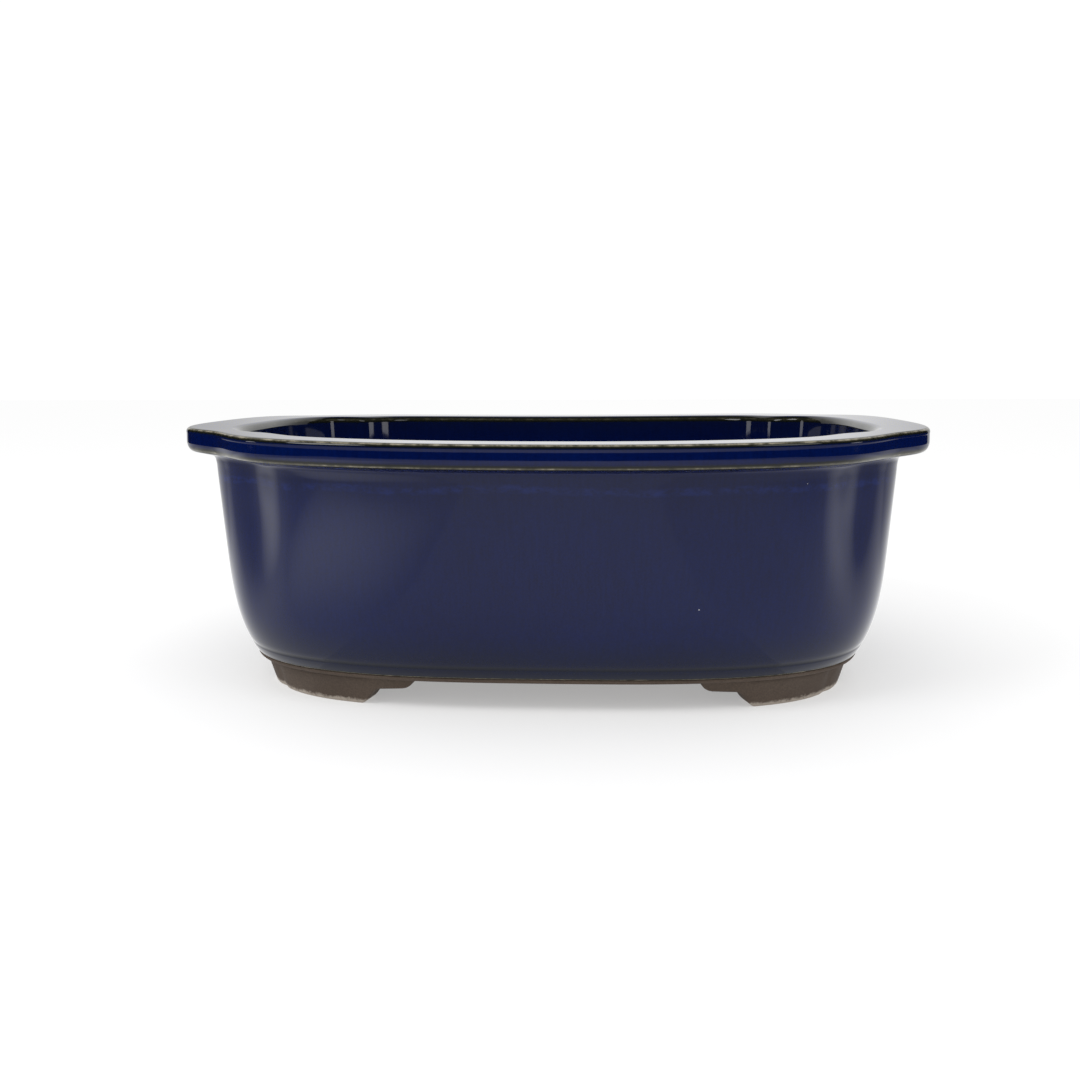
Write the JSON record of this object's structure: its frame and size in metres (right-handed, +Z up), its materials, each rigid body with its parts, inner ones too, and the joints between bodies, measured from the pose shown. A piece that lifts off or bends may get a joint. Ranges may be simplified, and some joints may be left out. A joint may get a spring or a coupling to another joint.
{
  "type": "bonsai pot",
  "caption": "Low glazed stoneware bonsai pot, a lobed rounded rectangle with a wide flat rim, creased corners, drain holes and unglazed bracket feet.",
  "frame": {"origin": "on the resting surface, under the middle of the pot", "axes": "+X along the pot's long side, +Y towards the back, +Z up"},
  "size_m": [0.3, 0.23, 0.1029],
  "materials": {
    "glaze": "deep cobalt-blue gloss glaze, a little browner where it runs thin over edges",
    "clay": "bare grey-brown fired clay, fine grained and matt"
  },
  "bodies": {
    "root": {"rim": "glaze", "wall_right": "glaze", "wall_back": "glaze", "wall_left": "glaze", "wall_front": "glaze", "floor": "clay", "foot_front_left": "clay", "foot_front_right": "clay", "foot_back_left": "clay", "foot_back_right": "clay"}
  },
  "joints": []
}
